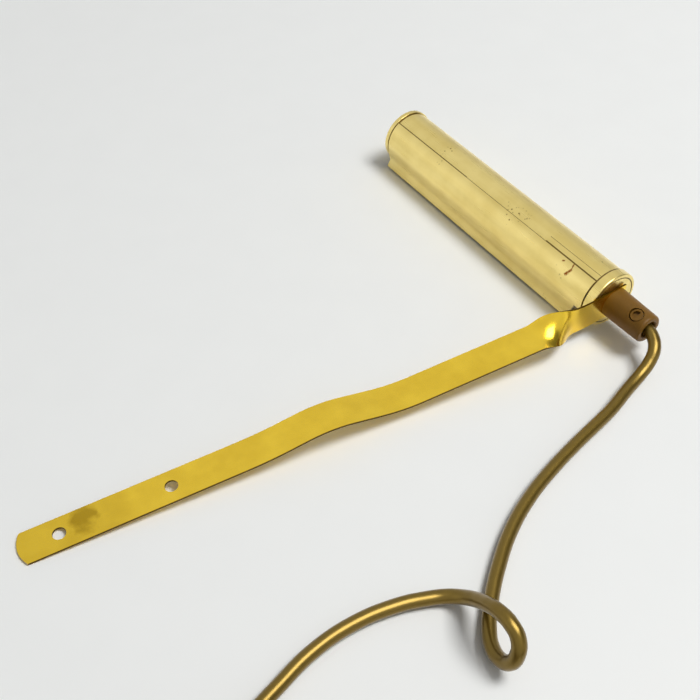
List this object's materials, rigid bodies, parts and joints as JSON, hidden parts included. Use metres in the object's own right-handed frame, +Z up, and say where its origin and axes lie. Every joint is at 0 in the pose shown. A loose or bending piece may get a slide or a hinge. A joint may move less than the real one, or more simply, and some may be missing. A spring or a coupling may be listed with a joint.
{
  "type": "picture light",
  "caption": "Brass tube picture light on a flat strap with a twisted, jogged arm and screw holes; the tube and its shutter turn to aim the light. Lead with switch and plug.",
  "frame": {"origin": "on the table under the middle of the lamp's box, taken without its lead, switch and plug", "axes": "+Z up from the table, +Y along the tube from the strap's end to its far end, +X from the strap's tip towards the tube"},
  "size_m": [0.3653, 0.3726, 0.0304],
  "materials": {
    "strap_brass": "polished, lacquered",
    "brass": "polished, lacquered",
    "brown_plastic": "moulded",
    "fibre": "pressed fibre",
    "steel": "plated",
    "porcelain": null,
    "brown_wire": "plain",
    "blue_wire": "plain",
    "glass": "clear",
    "black_insulator": null,
    "tungsten": "drawn wire",
    "lead_sheath": "soft PVC with a sheen",
    "tie_plastic": "plain",
    "dark_plastic": "moulded"
  },
  "bodies": {
    "lamp": {"mounting_strap": "strap_brass", "cord_grip": "brown_plastic", "clamp_screw": "brown_plastic", "threaded_nipple": "brass", "fibre_washer": "fibre", "spring_washer": "steel", "lock_nut": "steel", "holder_body": "porcelain", "contact_plate": "porcelain", "screw_shell": "brass", "centre_contact": "brass", "terminal_screws": "steel", "live_wire": "brown_wire", "neutral_wire": "blue_wire", "bulb_glass": "glass", "bulb_cap": "brass", "bulb_tip": "black_insulator", "filament": "tungsten", "cord_lead": "lead_sheath", "cord_tail": "lead_sheath", "cord_coil": "lead_sheath", "cord_end": "lead_sheath", "coil_tie": "tie_plastic", "switch_base": "brown_plastic", "switch_cover": "brown_plastic", "switch_pin": "steel", "switch_contacts": "brass", "switch_screws": "steel", "plug_body": "brown_plastic", "plug_sleeve": "brown_plastic", "plug_pins": "brass"},
    "tube": {"near_end_cap": "brass", "far_end_cap": "brass", "tube_shell": "brass", "far_pivot": "brass"},
    "shutter": {"shutter": "brass"},
    "rocker": {"switch_rocker": "dark_plastic"}
  },
  "joints": [
    {"name": "tube_aim", "type": "hinge", "parent": "lamp", "child": "tube", "pos_m": [0.14048, 0.00795, 0.0152], "axis": [0, 1, 0], "range_deg": [-150, 150]},
    {"name": "shutter_turn", "type": "hinge", "parent": "tube", "child": "shutter", "pos_m": [0.14048, 0.00795, 0.0152], "axis": [0, -1, 0], "range_deg": [-12, 80]},
    {"name": "switch_throw", "type": "hinge", "parent": "lamp", "child": "rocker", "pos_m": [-0.15952, -0.16055, 0.0126], "axis": [-0.2874, 0.9578, 0], "range_deg": [0, 18]}
  ]
}
